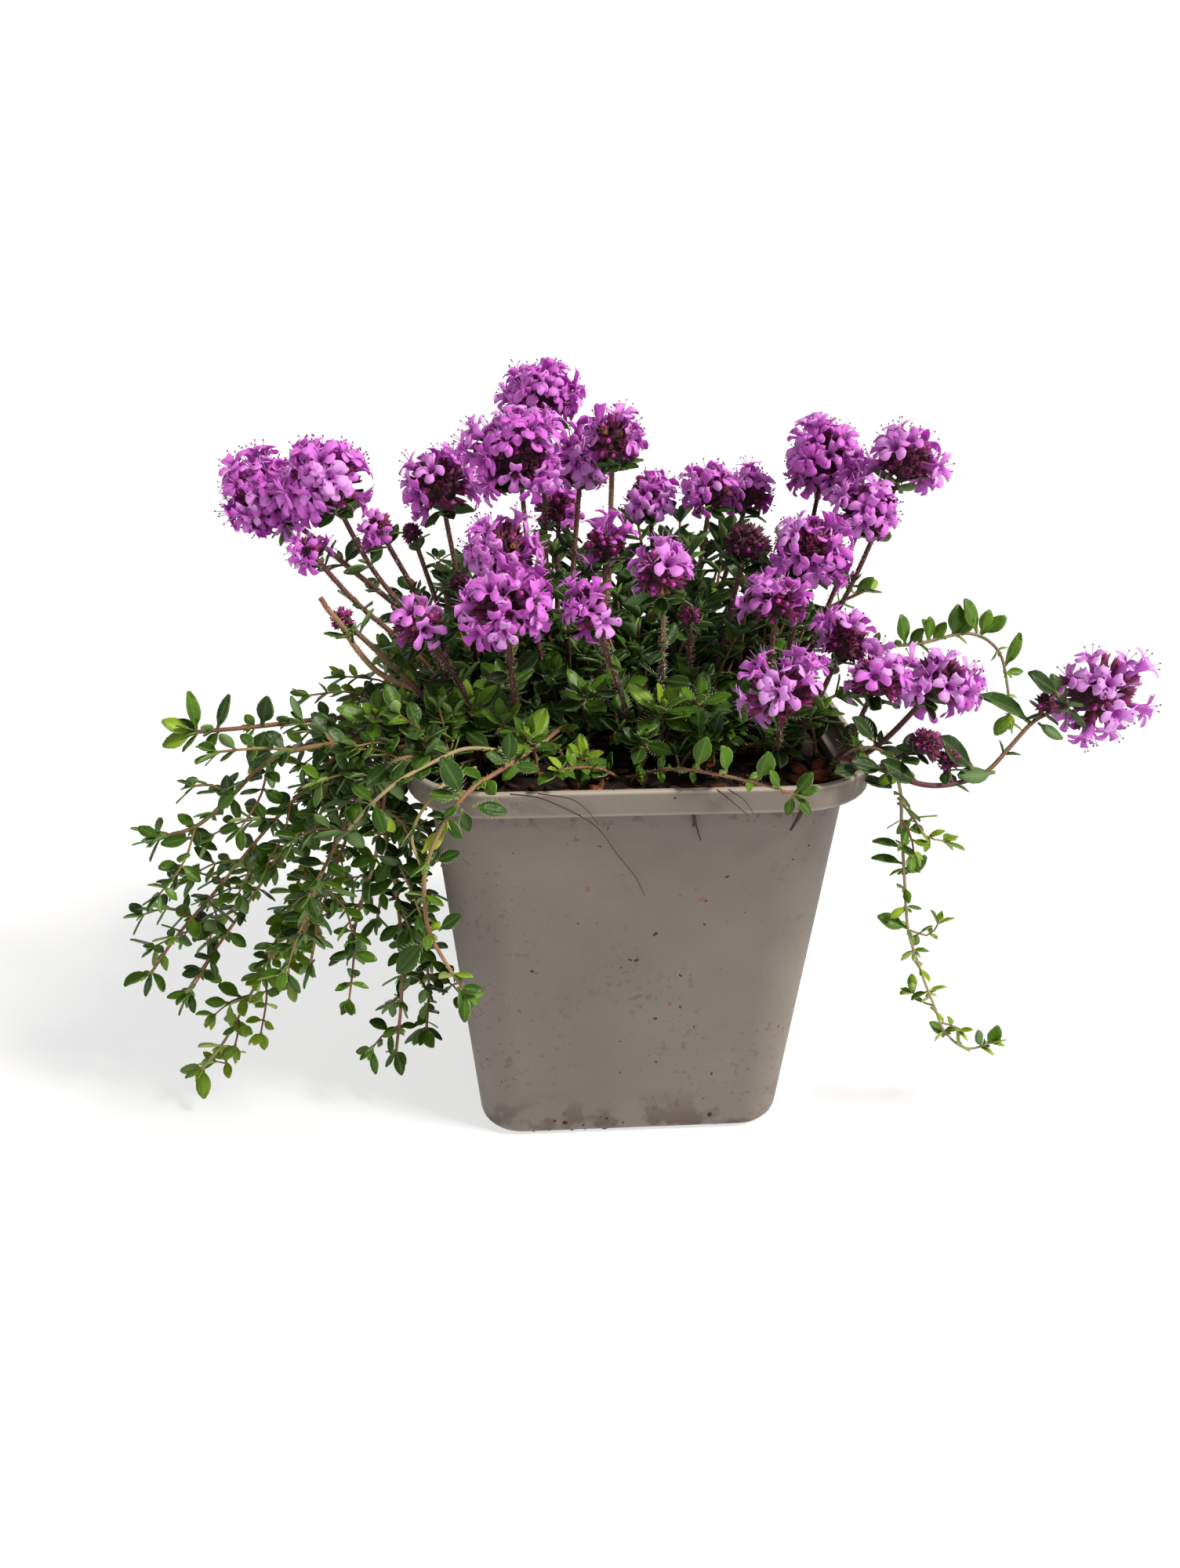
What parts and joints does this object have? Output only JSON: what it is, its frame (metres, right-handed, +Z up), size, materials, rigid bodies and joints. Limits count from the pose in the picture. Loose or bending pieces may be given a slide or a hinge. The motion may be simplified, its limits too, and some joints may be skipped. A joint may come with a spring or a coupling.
{
  "type": "potted creeping thyme",
  "caption": "Flowering mat-forming thyme in a small square tapered nursery pot, with round lilac flower heads on upright stems and leafy stems trailing over the rim.",
  "frame": {"origin": "centre of the pot's flat underside", "axes": "+Z up, -Y towards the viewer in front of the pot, +X to the viewer's right"},
  "size_m": [0.2034, 0.1182, 0.1556],
  "materials": {
    "pot_plastic": "taupe injection-moulded plastic, matt",
    "potting_soil": "moist dark potting compost with bark crumbs",
    "foliage": "small soft green leaves on thin hairy red-brown stems",
    "petal": "soft lilac-pink petals on dark maroon calyxes"
  },
  "bodies": {
    "root": {"pot": "pot_plastic", "soil": "potting_soil", "plant_left": "foliage", "plant_front_left": "foliage", "plant_back_left": "foliage", "plant_centre_left": "foliage", "plant_centre": "foliage", "plant_middle": "foliage", "plant_front": "foliage", "plant_centre_right": "foliage", "plant_back": "foliage", "plant_back_right": "foliage", "plant_right": "foliage", "plant_front_right": "foliage", "plant_corner": "foliage", "creeper_front_rim": "foliage", "creeper_front": "foliage", "creeper_right_back": "foliage", "creeper_left_high": "foliage", "creeper_left_middle": "foliage", "creeper_left_low": "foliage", "creeper_left_front": "foliage", "mat_back_left": "foliage", "mat_back_right": "foliage", "bloom_01": "petal", "bloom_02": "petal", "bloom_03": "petal", "bloom_04": "petal", "bloom_05": "petal", "bloom_06": "petal", "bloom_07": "petal", "bloom_08": "petal", "bloom_09": "petal", "bloom_10": "petal", "bloom_11": "petal", "bloom_12": "petal", "bloom_13": "petal", "bloom_14": "petal", "bloom_15": "petal", "bloom_16": "petal", "bloom_17": "petal", "bloom_18": "petal", "bloom_19": "petal", "bloom_20": "petal", "bloom_21": "petal", "bloom_22": "petal", "bloom_23": "petal", "bloom_24": "petal", "bloom_25": "petal", "bloom_26": "petal", "bloom_27": "petal", "bloom_28": "petal", "bloom_29": "petal", "bloom_30": "petal", "bloom_31": "petal", "bloom_32": "petal", "bloom_33": "petal", "bloom_34": "petal"}
  },
  "joints": []
}
